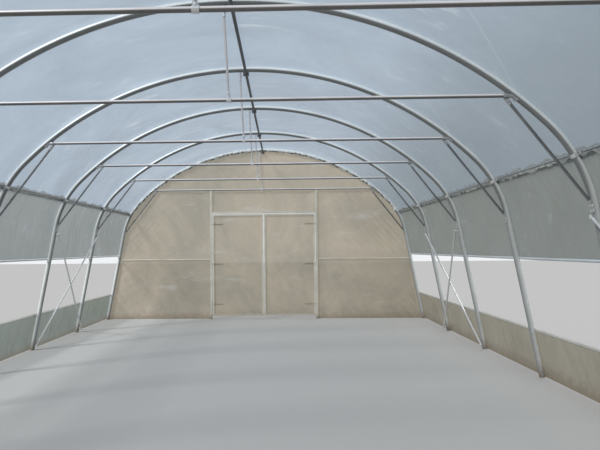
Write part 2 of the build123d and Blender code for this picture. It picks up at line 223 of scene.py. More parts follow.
tube_zinc = zinc(
    "tube_zinc", (0.84, 0.87, 0.86), (0.66, 0.69, 0.69), rough=0.34, metal=0.15, dirt=0.35, below=0.27,
)
bar_zinc = zinc(
    "bar_zinc", (0.84, 0.81, 0.81), (0.68, 0.66, 0.67),
    crystal_share=0.12, rough=0.34, metal=0.15, below=0.22,
)
# The knee braces' zinc is dark grey as painted shade.
shaded_brace_zinc = zinc("shaded_brace_zinc", (0.30, 0.31, 0.32), (0.16, 0.17, 0.18), rough=0.36, metal=0.8)
bright_zinc = zinc("bright_zinc", (0.86, 0.87, 0.88), (0.62, 0.63, 0.64), crystal=0.006, rough=0.3, metal=0.6)
clamp_zinc = zinc("clamp_zinc", (0.64, 0.65, 0.66), (0.42, 0.43, 0.44), crystal=0.006, rough=0.3, metal=0.75)
ridge_zinc = zinc("ridge_zinc", (0.16, 0.17, 0.18), (0.07, 0.075, 0.08), rough=0.5, metal=0.6)
wear(tube_zinc, *[f"hoop_{i + 1}" for i in range(bay_count + 1)])
wear(bar_zinc, "tie_bars", "tie_bar_hangers")
wear(shaded_brace_zinc, "knee_braces")
wear(bright_zinc, "wind_braces")
wear(clamp_zinc, "tie_clamps", "knee_clamps")
wear(ridge_zinc, "ridge_tube", "ridge_saddles")


# Clamp screws, sleeves and collars: zinc-plated steel. Hexagon screws go through each clamp into the hoop,
# a sleeve with bolts holds each end of a hanger and the head of a knee brace, and a collar sits round the
# tie bar under the hanger.
def joined(points, name, material, smooth=True, flip=False, weld=0.0):
    """A mesh over stacks of grids, one piece. In each stack points[k, i, j] is copy k's point at row i and
    column j, and each four neighbours make a face. weld merges points nearer than that."""
    vertices, faces, count = [], [], 0
    for stack in points if isinstance(points, list) else [points]:
        stack = np.asarray(stack, float)
        stack = stack[None] if stack.ndim == 3 else stack
        copies, rows, columns = stack.shape[:3]
        corner = (
            np.arange(copies)[:, None, None] * rows * columns
            + np.arange(rows - 1)[:, None] * columns
            + np.arange(columns - 1)
        )
        square = np.stack([corner, corner + columns, corner + columns + 1, corner + 1], -1).reshape(-1, 4)
        vertices.append(stack.reshape(-1, 3))
        faces.append(square + count)
        count += copies * rows * columns
    faces = np.concatenate(faces)
    mesh = bpy.data.meshes.new(name)
    mesh.from_pydata(np.concatenate(vertices), [], faces[:, ::-1] if flip else faces)
    if weld:
        work = bmesh.new()
        work.from_mesh(mesh)
        bmesh.ops.remove_doubles(work, verts=work.verts, dist=weld)
        work.to_mesh(mesh)
        work.free()
    mesh.polygons.foreach_set("use_smooth", np.full(len(mesh.polygons), smooth))
    mesh.materials.append(material)
    piece = bpy.data.objects.new(name, mesh)
    bpy.context.scene.collection.objects.link(piece)
    return piece


def dress(piece, body, slot, *replaced):
    """Says what body a piece rides on and which CAD nodes it stands for; slot is not used."""
    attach(piece, body)
    if replaced:
        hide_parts(*replaced)
    return piece


def turned(profile, sides=12, flats=()):
    """A profile of (radius, height) points turned round Z. Rows in flats keep to a hexagon: there the
    radius is divided by the cosine of the angle from the middle of a flat."""
    radius, height = np.array(profile, float).T[:, :, None]
    angle = np.linspace(0, 2 * np.pi, sides + 1)[None]
    flat = np.cos(np.pi / 6) / np.cos((angle + np.pi / 6) % (np.pi / 3) - np.pi / 6)
    hexagon = np.isin(np.arange(len(profile)), flats)[:, None]
    radius = radius * np.where(hexagon, flat, 1.0)
    return np.stack([radius * np.cos(angle), radius * np.sin(angle), height + 0 * angle], -1)


def stood(shape, places, axes):
    """Copies of a shape with its Z along each axis, at each place: x, y and z times three square unit
    vectors."""
    places, axes = np.atleast_2d(places), np.atleast_2d(axes).astype(float)
    places, axes = np.broadcast_arrays(places, axes)
    along = axes / np.linalg.norm(axes, axis=1, keepdims=True)
    aside = np.where(np.abs(along[:, 2:]) < 0.9, (0.0, 0.0, 1.0), (1.0, 0.0, 0.0))
    across = np.cross(aside, along)
    across = across / np.linalg.norm(across, axis=1, keepdims=True)
    third = np.cross(along, across)
    x, y, z = (shape[None, ..., i, None] for i in range(3))
    places, across, third, along = (v[:, None, None] for v in (places, across, third, along))
    return places + x * across + y * third + z * along


def mirrored(places, axes):
    """Places and axes of the right side, with their mirror images on the left."""
    turn = np.array([-1, 1, 1])
    return np.concatenate([places, places * turn]), np.concatenate([axes, axes * turn])


def at_each_hoop(place, axis):
    """A place and axis in the plane of a hoop, repeated at all of them."""
    places = np.array(place, float) + np.outer(hoop_places, (0, 1, 0))
    return places, np.broadcast_to(np.array(axis, float), places.shape)


def screw(head=0.0085, washer=0.012, height=0.0065):
    """A hexagon screw head with a chamfered top, on its washer, standing on Z 0."""
    rim = 0.0015
    profile = [(0, height), (head * 0.8, height), (head, height * 0.85), (head, rim)]
    profile += [(washer, rim), (washer, -rim), (0, -rim)]
    return turned(profile, 12, flats=(1, 2, 3))


def sleeve(inner, outer, length):
    """A short tube round Z from 0 up to its length, its ends closed down to the bar that it holds."""
    edge = 0.12 * (outer - inner)
    profile = [(inner, length), (outer - edge, length), (outer, length - edge)]
    profile += [(outer, edge), (outer - edge, 0), (inner, 0)]
    return turned(profile, 20)


tie_height, knee_height = 2.655, 1.740
clamp_radius, clamp_screw_turn, clamp_screw_off = hoop_radius + 0.0053, np.radians(34), 0.022
bolt, small_screw = screw(), screw(0.0065, 0.0085, 0.005)
clamp_screws = []
for height, way in ((tie_height, 1), (knee_height, 1), (knee_height, -1)):
    x, z, nx, nz = hoop_point(length_at(height))
    offset = way * clamp_screw_off
    for turn in (-clamp_screw_turn, clamp_screw_turn):
        axis = np.array([-nx * np.cos(turn), np.sin(turn), -nz * np.cos(turn)])
        place = np.array([x + offset * nz, 0, z - offset * nx]) + clamp_radius * axis
        clamp_screws.append(stood(small_screw, *mirrored(*at_each_hoop(place, axis))))

tie_x = hoop_point(length_at(tie_height))[0]
tie_bolt_inset, tie_bolt_side = 0.082, 0.0203
knee_head_inset, knee_bolt_inset, knee_head_side, knee_foot_side = 0.095, 0.062, 0.0155, 0.0165
knee_sleeve, knee_sleeve_start = sleeve(0.0125, 0.0165, 0.055), 0.034
knee_foot = np.array([hoop_point(length_at(knee_height))[0], 0, knee_height])
knee_head = np.array([tie_x - knee_head_inset, 0, tie_height])
knee_way = (knee_foot - knee_head) / np.linalg.norm(knee_foot - knee_head)
place = knee_head + knee_sleeve_start * knee_way
clamp_screws.append(stood(knee_sleeve, *mirrored(*at_each_hoop(place, knee_way))))
for way in (-1, 1):
    for shape, middle, half in (
        (bolt, (tie_x - tie_bolt_inset, 0, tie_height), tie_bolt_side),
        (bolt, knee_head + knee_bolt_inset * knee_way, knee_head_side),
        (small_screw, knee_foot - knee_bolt_inset * knee_way, knee_foot_side),
    ):
        place = np.array(middle) + (0, way * half, 0)
        clamp_screws.append(stood(shape, *mirrored(*at_each_hoop(place, (0, way, 0)))))
dress(joined(clamp_screws, "clamp_screws", clamp_zinc, smooth=False, weld=1e-5), "tunnel", "bright_zinc")

hanger_foot_x, hanger_head_x, hanger_bolt_side = -0.030, -0.072, 0.0145
head_sleeve, head_sleeve_start, head_bolt = sleeve(0.010, 0.0155, 0.085), 0.122, 0.080
foot_sleeve, foot_sleeve_start, foot_bolt = sleeve(0.010, 0.0145, 0.055), 0.019, 0.050
collar, collar_half = sleeve(0.0161, 0.0215, 0.040), 0.020
hanger_foot = np.array([hanger_foot_x, 0, tie_height])
hanger_head = np.array([hanger_head_x, 0, arch_z + np.sqrt(arch_radius**2 - hanger_head_x**2)])
hanger_way = (hanger_head - hanger_foot) / np.linalg.norm(hanger_head - hanger_foot)
fittings = [
    stood(head_sleeve, *at_each_hoop(hanger_head - head_sleeve_start * hanger_way, hanger_way)),
    stood(foot_sleeve, *at_each_hoop(hanger_foot + foot_sleeve_start * hanger_way, hanger_way)),
    stood(collar, *at_each_hoop(hanger_foot - (collar_half, 0, 0), (1, 0, 0))),
]
for way in (-1, 1):
    for place in (hanger_head - head_bolt * hanger_way, hanger_foot + foot_bolt * hanger_way):
        fittings.append(stood(bolt, *at_each_hoop(place + (0, way * hanger_bolt_side, 0), (0, way, 0))))
dress(joined(fittings, "hanger_fittings", bright_zinc, smooth=False, weld=1e-5), "tunnel", "bright_zinc")

brace_foot, brace_head = 0.070, 1.670
inner_brace, outer_brace = 0.0553, 0.0806
brace_screws = []
for bay in (1, bay_count - 2):
    for level, crossing in ((inner_brace, (0, 1)), (outer_brace, (1, 0))):
        for height, hoop in zip((brace_foot, brace_head), crossing):
            x, z, nx, nz = hoop_point(length_at(height), -level)
            place = np.array([[x, hoop_places[bay + hoop], z]])
            brace_screws.append(stood(bolt, *mirrored(place, np.array([[-nx, 0, -nz]]))))
dress(joined(brace_screws, "brace_screws", bright_zinc, smooth=False, weld=1e-5), "tunnel", "bright_zinc")


# Film-lock rails: a mill-finish aluminium channel along each side, strapped to the five inner hoops. The
# roof film and the curtain both go into its groove under a spring wire that zigzags from lip to lip.
rail_metal = zinc("rail_metal", (0.34, 0.35, 0.35), (0.15, 0.155, 0.155), crystal=0.03, rough=0.32, metal=0.8)
wire_steel = zinc("wire_steel", (0.62, 0.63, 0.62), (0.40, 0.41, 0.41), crystal=0.01, rough=0.3)
wear(rail_metal, "film_lock_rails")
rail_height, rail_half = 2.165, 0.015
s_rail = float(length_at(rail_height))


def tube(path, radius, sides=8, up=(0, 0, 1)):
    """A round bar along a path, closed at both ends: at each point a circle in the plane square to the
    path."""
    path = np.concatenate([path[:1], path, path[-1:]])
    ahead = np.gradient(path[1:-1], axis=0)
    ahead = np.concatenate([ahead[:1], ahead, ahead[-1:]])
    ahead = ahead / np.linalg.norm(ahead, axis=1, keepdims=True)
    across = np.cross(np.array(up, float), ahead)
    across = across / np.linalg.norm(across, axis=1, keepdims=True)
    third = np.cross(ahead, across)
    size = np.full(len(path), radius)
    size[[0, -1]] = 0
    angle = -np.linspace(0, 2 * np.pi, sides + 1)[None, :, None]
    ring = np.cos(angle) * across[:, None] + np.sin(angle) * third[:, None]
    return path[:, None] + size[:, None, None] * ring


wire_radius, wire_swing, wire_pitch, wire_steps = 0.0013, 0.0046, 0.10, 10
wire_out, wire_overhang = 0.0415, 0.03
# Each wire follows the rail along Y, and swings across it by a sine of Y with the wire's pitch.
y = np.arange(first_hoop - wire_overhang, last_hoop + wire_overhang, wire_pitch / wire_steps)
wires = []
for side in (-1, 1):
    x, z, _, _ = hoop_line(side * (s_rail + wire_swing * np.sin(2 * np.pi * y / wire_pitch)), wire_out)
    wires.append(tube(np.stack([x, y, z], -1), wire_radius, 6))
dress(joined(wires, "spring_wires", wire_steel, weld=1e-6), "tunnel", "rail_aluminium")

strap_half, strap_wall, strap_reach, strap_out = 0.016, 0.0025, 0.060, 0.0290
strap_gap, strap_throat, strap_knee, strap_screw_off = 0.0015, 0.004, 0.036, 0.048
strap_open = 15
# A strap's line runs round the hoop's inner side, as part of a circle, and ends in two flat ears. Moved
# inwards by the strap's wall and run back it closes a loop, which is carried across the rail.
bend = np.linspace(np.radians(strap_open), np.radians(360 - strap_open), 29)
ring = np.stack([-np.sin(bend), np.cos(bend)], -1) * (hoop_radius + strap_gap)
ring = ring[ring[:, 1] < strap_out - strap_throat]
ears = [(x, strap_out) for x in (-strap_reach, -strap_knee, strap_knee, strap_reach)]
line = np.concatenate([ears[:2], ring, ears[2:]])
ahead = np.gradient(line, axis=0)
square = np.stack([-ahead[:, 1], ahead[:, 0]], -1) / np.linalg.norm(ahead, axis=1, keepdims=True)
loop = np.concatenate([line, (line - strap_wall * square)[::-1], line[:1]])
strap_screw = screw(0.0055, 0.008, 0.0045)
straps, strap_screws = [], []
for side in (-1, 1):
    for hoop_y in hoop_places[1:-1]:
        along = side * (s_rail + np.array([-strap_half, -strap_half, strap_half, strap_half]))[:, None]
        x, z, _, _ = hoop_line(along, loop[None, :, 1])
        grid = np.stack([x, hoop_y + loop[None, :, 0] + 0 * x, z], -1)
        grid[0], grid[-1] = grid[0].mean(0), grid[-1].mean(0)
        straps.append(grid if side > 0 else grid[::-1])
        x, z, nx, nz = hoop_point(side * s_rail, strap_out - strap_wall)
        for way in (-1, 1):
            strap_screws.append(stood(strap_screw, (x, hoop_y + way * strap_screw_off, z), (-nx, 0, -nz)))
straps = joined(straps + strap_screws, "rail_straps", bright_zinc, smooth=False, weld=1e-5)
dress(straps, "tunnel", "bright_zinc")


# Roof film: one sheet of bluish polythene 0.2 mm thick over the hoops. It dips a little between them,
# gathers near the rails, turns down round the end hoops, and its free edge hangs as a ruffle below the
# spring wire that holds it.
def waves(a, b, seed, count, low, high, slant=0.0):
    """Wrinkles of a sheet, about 1 high: sines with seeded directions, phases and wavelengths between low
    and high. With slant near 1 all of them run square to a."""
    rng = np.random.default_rng(seed)
    total = np.zeros(np.broadcast(a, b).shape)
    for _ in range(count):
        wavelength = low * (high / low) ** rng.random()
        angle = rng.uniform(-1, 1) * np.pi / 2 * (1 - slant)
        phase = rng.uniform(0, 2 * np.pi)
        total += np.sin(2 * np.pi * (a * np.cos(angle) + b * np.sin(angle)) / wavelength + phase)
    return total / np.sqrt(count)


def polythene(name, glow, haze, clear_tint, clear, dull=0.16, dirt=None, cloudy=0.12, streaks=0.0, milk=0.5,
              other=1.0, crease=None, wound=0.0, right_shade=1.0):
    """Polythene film. A share clear of what is behind it shows straight through in clear_tint. The rest
    scatters: a share milk is thrown back by its face in the colour haze, under a soft gloss, and the rest
    glows through in the colour glow. Broad noise clouds both, towards other times the colour, and stretched
    noise draws pale streaks. dirt is a colour, how high it reaches and its most. crease is a slope, X of
    its foot and of its head: in each bay a pale line, a painted reflection of the sunlit hoop, leaves the
    hoop there, slope metres along Y for each metre of X. Below the height wound the film lies in turns,
    paler and no longer clear. Towards the right eave a painted shade takes its colour down by right_shade.
    The sun passes the film as one soft beam."""
    node, surface = new_material(name)
    place = node("TexCoord").outputs["Object"]
    x, y, height = node("SeparateXYZ", {"Vector": place}).outputs
    broad = {"Vector": place, "Scale": 0.7, "Detail": 6.0, "Roughness": 0.62, "Distortion": 0.6}
    broad = node("TexNoise", broad).outputs["Fac"]
    fine = node("TexNoise", {"Vector": place, "Scale": 16.0, "Detail": 4.0, "Roughness": 0.6}).outputs["Fac"]
    cloud = node("MapRange", {"Value": broad, "From Min": 0.32, "From Max": 0.68}).outputs[0]
    stretched = {"Vector": place, "Rotation": (0.4, 0.9, 0.2), "Scale": (0.7, 3.4, 3.4)}
    stretched = node("Mapping", stretched).outputs[0]
    streaks_and_reflection = {"Vector": stretched, "Scale": 1.3, "Detail": 5.0, "Roughness": 0.65}
    streaks_and_reflection = node("TexNoise", streaks_and_reflection).outputs["Fac"]
    streaks_and_reflection = {"Value": streaks_and_reflection, "From Min": 0.60, "From Max": 0.72, "To Max": streaks}
    streaks_and_reflection = node("MapRange", streaks_and_reflection).outputs[0]
    # Painted reflection: in each bay a pale line of the sunlit hoop's reflection, mixed in with the streaks.
    if crease:
        slope, foot_x, head_x = crease
        back = node("Math", {0: first_hoop, 1: y}, operation="SUBTRACT").outputs[0]
        back = node("Math", {0: back, 1: bay_length}, operation="FLOORED_MODULO").outputs[0]
        off = node("Math", {0: x, 1: slope, 2: back}, operation="MULTIPLY_ADD").outputs[0]
        off = node("Math", {0: off, 1: slope * foot_x}, operation="SUBTRACT").outputs[0]
        off = node("Math", {0: off}, operation="ABSOLUTE").outputs[0]
        hoop_reflection_line = node("MapRange", {"Value": off, "From Max": 0.028, "To Min": 0.65, "To Max": 0.0}).outputs[0]
        reach = {"Value": x, "From Min": head_x, "From Max": head_x + 0.5, "To Max": fine}
        hoop_reflection_line = node("Math", {0: hoop_reflection_line, 1: node("MapRange", reach).outputs[0]}, operation="MULTIPLY").outputs[0]
        streaks_and_reflection = node("Math", {0: streaks_and_reflection, 1: hoop_reflection_line}, operation="MAXIMUM").outputs[0]
    dirt_colour, top, most = dirt or ((0, 0, 0), 0.01, 0.0)
    ragged = {"Value": fine, "From Min": 0.3, "From Max": 0.7, "To Min": 0.3 * top, "To Max": top}
    ragged = node("MapRange", ragged).outputs[0]
    mark = node("MapRange", {"Value": height, "From Min": ragged, "From Max": 0.0, "To Max": most}).outputs[0]
    # Painted shade: towards the right eave the film's colour darkens, by right_shade.
    right_shade_mask = {"Value": x, "From Min": 1.2, "From Max": 2.6, "To Max": 1 - right_shade}
    right_shade_mask = node("MapRange", right_shade_mask, interpolation_type="SMOOTHSTEP").outputs[0]
    turns = {"Value": height, "From Min": wound + 0.004, "From Max": wound - 0.004}
    turns = node("MapRange", turns).outputs[0]

    def clouded(tint):
        """One of the film's colours all over it: its clouds, then each layer by its share."""
        pale = [c * (1 + cloudy) for c in tint]
        layers = [(cloud, pale), (streaks_and_reflection, (0.75, 0.80, 0.84)), (mark, dirt_colour)]
        layers += [(right_shade_mask, (0.05, 0.055, 0.0))] if right_shade < 1 else []
        layers += [(turns, (0.78, 0.82, 0.85))] if wound else []
        colour = (*(c * o * (1 - cloudy) for c, o in zip(tint, np.broadcast_to(other, 3))), 1)
        for share, above in layers:
            mix = {"Factor": share, "A": colour, "B": (*above, 1)}
            colour = node("Mix", mix, data_type="RGBA").outputs["Result"]
        return colour

    bump = node("Bump", {"Height": fine, "Strength": 0.15, "Distance": 0.004}).outputs[0]
    scattered = node("BsdfTranslucent", {"Color": clouded(glow)}).outputs[0]
    face = node("BsdfPrincipled", {"Base Color": clouded(haze), "Roughness": dull, "Normal": bump}).outputs[0]
    milky = node("MixShader", {0: milk, 1: scattered, 2: face}).outputs[0]
    straight = node("BsdfTransparent", {"Color": (*clear_tint, 1)}).outputs[0]
    share = {"Value": cloud, "To Min": 1 - clear * 1.15, "To Max": 1 - clear * 0.85}
    share = node("MapRange", share).outputs[0]
    if wound:
        share = node("Math", {0: share, 1: turns}, operation="MAXIMUM").outputs[0]
    film = node("MixShader", {0: share, 1: straight, 2: milky}).outputs[0]
    through = node("BsdfTransparent", {"Color": (0.7, 0.7, 0.7, 1)}).outputs[0]
    return surface(node("MixShader", {0: node("LightPath").outputs["Is Shadow Ray"], 1: film, 2: through}))


def between_hoops(y):
    """0 at each hoop and 1 midway between two, as a squared sine, and 0 past the end hoops."""
    return np.where((y < first_hoop) | (y > last_hoop), 0, np.sin(np.pi * (y - first_hoop) / bay_length) ** 2)


film_out, film_play, film_columns, end_turn = 0.032, 0.001, 481, 80


def along_tunnel(radius, columns):
    """Y of a film's columns from end to end, as one row: even steps between the end hoops, and past each
    end hoop some that turn down round it by end_turn degrees. Also how far in each column has turned."""
    turn = np.radians(np.linspace(0, end_turn, columns + 1)[1:])
    past, turned_in = radius * np.sin(turn), radius * (1 - np.cos(turn))
    middle = np.linspace(first_hoop, last_hoop, film_columns)
    y = np.concatenate([first_hoop - past[::-1], middle, last_hoop + past])
    return y[None], np.concatenate([turned_in[::-1], 0 * middle, turned_in])[None]


roof_film = polythene(
    "roof_film", (0.36, 0.43, 0.51), (0.68, 0.73, 0.78), (0.42, 0.49, 0.57), 0.32,
    dull=0.24, cloudy=0.14, streaks=0.45, crease=(1.35, 2.29, 1.35), right_shade=0.58,
)
wrap_radius, roof_rows, top_gap, rail_takes = 0.0335, 149, 0.004, 0.032
roof_dip, least_dip, roof_wrinkle, frill_height = 0.020, 0.004, 0.0030, 0.006
gather_height, gather_depth, gather_reach = 0.0035, 0.002, 0.22
ruffle_start, ruffle_reach = 0.022, 0.05
# The film is the hoop's line moved out by film_out. It dips between hoops by a squared sine of Y, times a
# cosine of the way from the crown, with seeded sines for wrinkles and gathers that fade away from the
# rails. At each rail a profile carries it into the groove, and past that its free edge waves by seeded
# sines.
y, inward = along_tunnel(wrap_radius, 6)
s_top = s_rail - rail_half
into_groove = [(-0.0005, 0.0), (0.0005, 0.0152), (0.0075, 0.0156)]
into_groove += [(0.0092, 0.0080), (0.0150, 0.0070), (0.0208, 0.0080)]
free_edge = [(0.0222, 0.0160), (0.034, 0.0175), (0.048, 0.020), (0.062, 0.023), (0.076, 0.025)]
side_s, side_out = np.array(into_groove + free_edge).T
side_s = side_s + s_top
top_s = np.linspace(-s_top + top_gap, s_top - top_gap, roof_rows)
s = np.concatenate([-side_s[::-1], top_s, side_s])[:, None]
raised = np.concatenate([side_out[::-1], 0 * top_s, side_out])[:, None]
from_crown = np.abs(s) / s_top
slack = between_hoops(y) * np.clip(1 - from_crown**6, 0, 1)
dip = (roof_dip * np.cos(np.clip(from_crown, 0, 1) * np.pi / 2) + least_dip) * slack
dip = dip + roof_wrinkle * waves(s, y, 3, 16, 0.25, 1.1) * slack
gathers = gather_height * waves(y, s, 4, 14, 0.09, 0.30, slant=0.85)
gathers = gathers * np.exp(-(s_top - np.abs(s)) / gather_reach)
dip = dip + np.maximum(gathers, -gather_depth) * np.sqrt(between_hoops(y)) * (np.abs(s) < s_top - top_gap / 2)
ruffle = np.clip((np.abs(s) - s_top - ruffle_start) / ruffle_reach, 0, 1)
frill = frill_height * (waves(y, s, 5, 10, 0.06, 0.25, slant=0.8) + 0.5) * ruffle
x, z, _, _ = hoop_line(s + 0 * y, film_out + raised - dip - inward + frill)
z = z + frill_height * waves(y, s, 8, 8, 0.10, 0.5, slant=0.9) * ruffle
roof = joined(np.stack([x, y + 0 * s, z], -1), "roof_film_sheet", roof_film)
dress(roof, "tunnel", "roof_film", "roof_film")
roof_cut = (
    round(float(2 * side_s[-1] + 2 * rail_takes), 3),
    round(tunnel_length + 2 * wrap_radius * np.radians(end_turn), 3),
)


# Side curtains: a loose sheet of polythene each side from the rail's groove down to a zinc-plated tube, its
# foot wound two and a half turns on to it. Ragged tails of both films, left by trimming, hang out of the
# groove.
curtain_film = polythene(
    "curtain_film", (0.24, 0.26, 0.265), (0.46, 0.48, 0.485), (0.40, 0.44, 0.42), 0.22,
    dull=0.14, streaks=0.25, wound=1.321, right_shade=0.70,
)
tail_film = polythene("tail_film", (0.45, 0.46, 0.46), (0.55, 0.57, 0.56), (0.60, 0.64, 0.64), 0.10, milk=0.8)
roll_height, roll_out, roll_radius, roll_turns = 1.300, 0.0475, 0.0168, 2.5
bar_radius, bar_overhang, bar_gap = 0.0125, 0.050, 0.0006
hang_start, hang_rows, groove_takes = 0.024, 36, 0.022
curtain_slack, curtain_fold, curtain_pleat, pleat_reach, fold_at_hoop = 0.016, 0.0055, 0.0035, 0.3, 0.12
s_roll = float(length_at(roll_height))
y_film, _ = along_tunnel(film_out, 4)
# The curtain goes from the groove's lip straight down to the roll and round it as a spiral, whose radius
# shrinks evenly to the bar. Between hoops it bulges by a squared sine of Y, with seeded sines for its folds
# and for pleats that fade downwards.
hang = np.linspace(s_rail + hang_start, s_roll, hang_rows)
turns = np.linspace(0, 2 * np.pi * roll_turns, 44)[1:]
radius = roll_radius - (roll_radius - bar_radius - bar_gap) * turns / turns[-1]
roll_across, roll_up = radius * np.sin(turns), radius * np.cos(turns)
wound_length = float(np.sum(np.hypot(np.diff(roll_across), np.diff(roll_up))))
lip = np.array([(0.0, 0.0070), (0.0058, 0.0078), (0.0070, 0.0158), (0.0155, 0.0158)])
hang_out = np.interp(hang, [hang[0], s_roll], [film_out + film_play, roll_out - roll_radius])
hang_free = np.sin(np.pi * np.linspace(0, 1, hang_rows)) ** 0.7

tail_drop, tail_inset, tail_out, tail_share = 0.042, 0.07, 0.0302, 0.62
tail_puff, most_puff, least_drop, groove_half, groove_wander = 0.008, 0.022, 0.006, 0.0080, 0.003
drop_share, drop_swing, puff_swing = 0.52, 0.34, 0.8
tail_length = round(tunnel_length - 2 * tail_inset, 3)
y_tail = np.linspace(first_hoop + tail_inset, last_hoop - tail_inset, 721)[None]
drop = np.linspace(0, 1, 7)[:, None]
bars = []
for name, side in (("left", -1), ("right", 1)):
    s = np.concatenate([s_rail + lip[:, 0], hang, s_roll + roll_across])[:, None]
    out = np.concatenate([film_out + lip[:, 1], hang_out, roll_out - roll_up])[:, None]
    free = np.concatenate([0 * lip[:, 0], hang_free, 0 * turns])[:, None]
    down = np.clip((s - hang[0]) / (s_roll - hang[0]), 0, 1)
    slack = curtain_slack * free * between_hoops(y_film)
    folds = curtain_fold * waves(y_film, s, 11 + side, 16, 0.12, 0.7, slant=0.6) * free
    pleats = curtain_pleat * waves(y_film, s, 15 + side, 12, 0.08, 0.22, slant=0.93)
    folds = folds + pleats * free**0.3 * np.exp(-down / pleat_reach)
    folds = folds * (fold_at_hoop + (1 - fold_at_hoop) * between_hoops(y_film))
    out = np.maximum(out + slack + folds, np.minimum(out, film_out - film_play))
    x, z, _, _ = hoop_line(side * (s + 0 * y_film), out)
    grid = np.stack([x, y_film + 0 * s, z], -1)
    curtain = joined(grid, f"side_curtain_{name}_sheet", curtain_film, flip=side < 0)
    dress(curtain, "tunnel", "curtain_film", f"side_curtain_{name}")

    x, z, _, _ = hoop_point(side * s_roll, roll_out)
    path = np.linspace((x, first_hoop - bar_overhang, z), (x, last_hoop + bar_overhang, z), 7)
    bars.append(tube(path, bar_radius, 20))

    # A tail is a strip from the groove up or down the hoop's line. Its start, width and puff are seeded
    # sines of Y, and it curls inwards by a sine of the share of its drop.
    for tail_name, way, seed in (("curtain_tail", 1, 61), ("roof_tail", -1, 81)):
        frayed = waves(y_tail, 0 * y_tail, seed + side, 14, 0.14, 0.9, slant=1.0)
        frayed = tail_drop * (drop_share + drop_swing * frayed)
        puff = waves(y_tail, 0 * y_tail, seed + 5 + side, 10, 0.08, 0.5, slant=1.0)
        puff = tail_puff * (1 + puff_swing * puff)
        loose = between_hoops(y_tail) ** 0.5 * np.sin(np.pi / 2 * drop) ** 0.7
        start = groove_half + groove_wander * waves(y_tail, 0 * y_tail, seed + 9, 8, 0.04, 0.2, slant=1.0)
        s = side * (s_rail + way * (start + drop * np.maximum(frayed, least_drop)))
        x, z, _, _ = hoop_line(s, tail_out - np.clip(puff, 0, most_puff) * loose)
        grid = np.stack([x, y_tail + 0 * drop, z], -1)
        tail = joined(grid, f"{tail_name}_{name}", tail_film, flip=side * way < 0)
        dress(tail, "tunnel", "curtain_film")
        area = round(tail_share * tail_drop * tail_length, 3)
dress(joined(bars, "roll_bars", bright_zinc, weld=1e-6), "tunnel", "roll_tube", "roll_tubes")


# Skirts: a low sheet of polythene each side from a flat rail down to the ground, its top folded over the
# rail and screwed to the hoops. Rain has splashed dirt up it, more on the right.
skirt_films = {
    "left": ((0.19, 0.215, 0.195), (0.36, 0.39, 0.365), (0.30, 0.34, 0.30), 0.16),
    "right": ((0.28, 0.255, 0.20), (0.47, 0.44, 0.37), (0.36, 0.33, 0.26), 0.24),
}
hem_film = polythene("hem_film", (0.6, 0.6, 0.58), (0.66, 0.66, 0.64), (0.7, 0.7, 0.68), 0.05, dull=0.3)
wear(hem_film, "skirt_rails")
skirt_top, skirt_rail_middle, skirt_rail_out = 0.504, 0.517, 0.0405
skirt_bulge, skirt_fold, skirt_at_hoop, skirt_rows = 0.012, 0.0065, 0.15, 28
hem_screw = screw(0.006, 0.010, 0.004)
s = np.linspace(float(length_at(skirt_top)), float(length_at(0.0)), skirt_rows)[:, None]
# The skirt is the hoop's line from its rail to the ground, moved out. It bulges by a sine of its height
# times a squared sine of Y between hoops, with seeded sines for folds.
down = (s - s[0]) / (s[-1] - s[0])
free = np.sin(np.pi * down) ** 0.7 * (skirt_at_hoop + (1 - skirt_at_hoop) * between_hoops(y_film))
hem_screws = []
for name, side in (("left", -1), ("right", 1)):
    glow, haze, clear_tint, splashed = skirt_films[name]
    dirt = ((0.20, 0.15, 0.10), splashed, 0.7)
    skirt_film = polythene(f"skirt_film_{name}", glow, haze, clear_tint, 0.12, dirt=dirt)
    folds = skirt_bulge * np.sin(np.pi * down) * between_hoops(y_film)
    folds = folds + skirt_fold * waves(y_film, s, 21 + side, 18, 0.10, 0.6, slant=0.6) * free
    x, z, _, _ = hoop_line(side * (s + 0 * y_film), np.maximum(film_out + folds, film_out - film_play))
    grid = np.stack([x, y_film + 0 * s, z], -1)
    skirt = joined(grid, f"skirt_film_{name}_sheet", skirt_film, flip=side < 0)
    dress(skirt, "tunnel", "skirt_film", f"skirt_film_{name}")
    x, z, nx, nz = hoop_point(side * length_at(skirt_rail_middle), skirt_rail_out)
    hem_screws.append(stood(hem_screw, *at_each_hoop((x, 0, z), (nx, 0, nz))))
dress(joined(hem_screws, "hem_screws", bright_zinc, smooth=False, weld=1e-5), "tunnel", "bright_zinc")


# End frames and end films: two posts of square steel tube up to the tie bar, a header and mid rails, and
# outside them one stretched sheet of polythene with the doorway cut out. Its rim turns over the end hoop
# under the roof film.
ends = (("near", -1, first_hoop, "hoop_1"), ("far", 1, last_hoop, "hoop_7"))
door_zinc = zinc("door_zinc", (0.78, 0.75, 0.65), (0.58, 0.55, 0.47), rough=0.42, metal=0.2, dirt=0.25)
wear(door_zinc, *[f"{end}_{name}" for end, *_ in ends for name in ("door_posts", "door_header", "mid_rails")])
wear(bright_zinc, "near_hinge_pins", "far_hinge_pins")
end_film = polythene(
    "end_film", (0.405, 0.345, 0.265), (0.64, 0.57, 0.475), (0.66, 0.60, 0.50), 0.20,
    dull=0.12, dirt=((0.20, 0.15, 0.10), 0.22, 0.6), cloudy=0.08, streaks=0.25,
    other=(0.68, 0.74, 0.76), right_shade=0.82,
)
opening_half, post_outer, header_top, mid_rail_height, lap = 1.065, 1.105, 2.200, 1.22, 0.036
rim_radius, rim_turn, rim_reach, end_cut = 0.0318, 70, 0.35, (6.54, 3.53)
end_bulge, end_wrinkle, end_ripple = 0.014, 0.0055, 0.003
